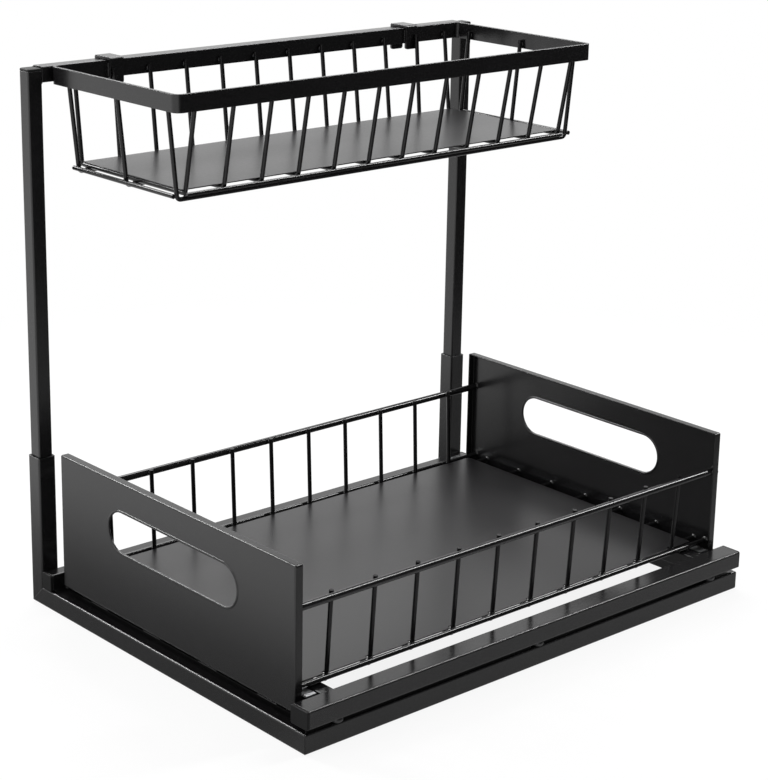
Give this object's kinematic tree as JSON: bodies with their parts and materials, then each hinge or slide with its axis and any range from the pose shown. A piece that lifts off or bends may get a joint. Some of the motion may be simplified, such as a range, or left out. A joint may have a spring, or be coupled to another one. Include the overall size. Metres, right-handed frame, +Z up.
{
  "type": "pull out cabinet basket",
  "caption": "Two-tier pull-out cabinet basket: a sheet and wire tray on ball slides in a tube base, with a wire basket hooked to a bar between two posts.",
  "frame": {"origin": "bottom centre of the closed object's bounding box", "axes": "+X to the right across the long front, +Y from the front to the back, +Z up; the drawer opens towards -Y"},
  "size_m": [0.45, 0.3396, 0.424],
  "materials": {
    "painted": "semi-gloss black powder coat",
    "plastic": "satin black moulded plastic",
    "rubber": "matt black rubber",
    "zinc_steel": "zinc-plated steel",
    "ball_steel": "polished steel",
    "black_screw": "black-finished steel"
  },
  "bodies": {
    "frame": {"base_front_bar": "painted", "base_rear_bar": "painted", "base_side_tube_left": "painted", "base_side_tube_right": "painted", "socket_tube_left": "painted", "socket_tube_right": "painted", "rear_stop_bar": "painted", "rear_stop_bar_plugs": "plastic", "slide_bracket_left": "painted", "slide_bracket_right": "painted", "slide_outer_left": "zinc_steel", "slide_outer_right": "zinc_steel", "slide_outer_rivets": "zinc_steel", "post_left": "painted", "post_right": "painted", "top_cross_bar": "painted", "post_end_caps": "plastic", "post_fixing_screws": "black_screw", "post_rivet_nuts": "zinc_steel", "bumper_pads": "rubber"},
    "drawer_frame": {"drawer_front_bar": "painted", "drawer_front_bar_plugs": "plastic", "drawer_side_rail_left": "painted", "drawer_side_rail_right": "painted", "drawer_rail_plugs": "plastic", "drawer_rear_strip": "painted", "slide_inner_left": "zinc_steel", "slide_inner_right": "zinc_steel", "slide_inner_rivets": "zinc_steel"},
    "ball_cage_body_left": {"ball_cage_left": "zinc_steel", "slide_balls_left": "ball_steel"},
    "ball_cage_body_right": {"ball_cage_right": "zinc_steel", "slide_balls_right": "ball_steel"},
    "tray": {"tray_side_panel_left": "painted", "tray_side_panel_right": "painted", "tray_floor": "painted", "tray_fence_wires": "painted", "tray_cross_rods": "painted", "tray_front_top_rod": "painted", "tray_rear_top_rod": "painted", "tray_front_foot_rod": "painted", "tray_rear_foot_rod": "painted"},
    "upper_basket": {"upper_rim": "painted", "upper_cross_wires": "painted", "upper_side_wires": "painted", "upper_long_foot_rods": "painted", "upper_side_foot_rods": "painted", "upper_floor_plate": "painted", "hook_strap_left": "painted", "hook_strap_right": "painted"}
  },
  "joints": [
    {"name": "drawer_slide", "type": "slide", "parent": "frame", "child": "drawer_frame", "axis": [0, -1, 0], "range_m": [0, 0.2]},
    {"name": "ball_cage_slide_left", "type": "slide", "parent": "frame", "child": "ball_cage_body_left", "axis": [0, -1, 0], "range_m": [0, 0.1]},
    {"name": "ball_cage_slide_right", "type": "slide", "parent": "frame", "child": "ball_cage_body_right", "axis": [0, -1, 0], "range_m": [0, 0.1]},
    {"name": "tray_lift", "type": "slide", "parent": "drawer_frame", "child": "tray", "axis": [0, 0, 1], "range_m": [0, 0.15]},
    {"name": "upper_basket_lift", "type": "slide", "parent": "frame", "child": "upper_basket", "axis": [0, 0, 1], "range_m": [0, 0.05]}
  ],
  "couplings": [
    {"joint": "ball_cage_slide_left", "follows": "drawer_slide", "ratio": 0.5},
    {"joint": "ball_cage_slide_right", "follows": "drawer_slide", "ratio": 0.5}
  ]
}
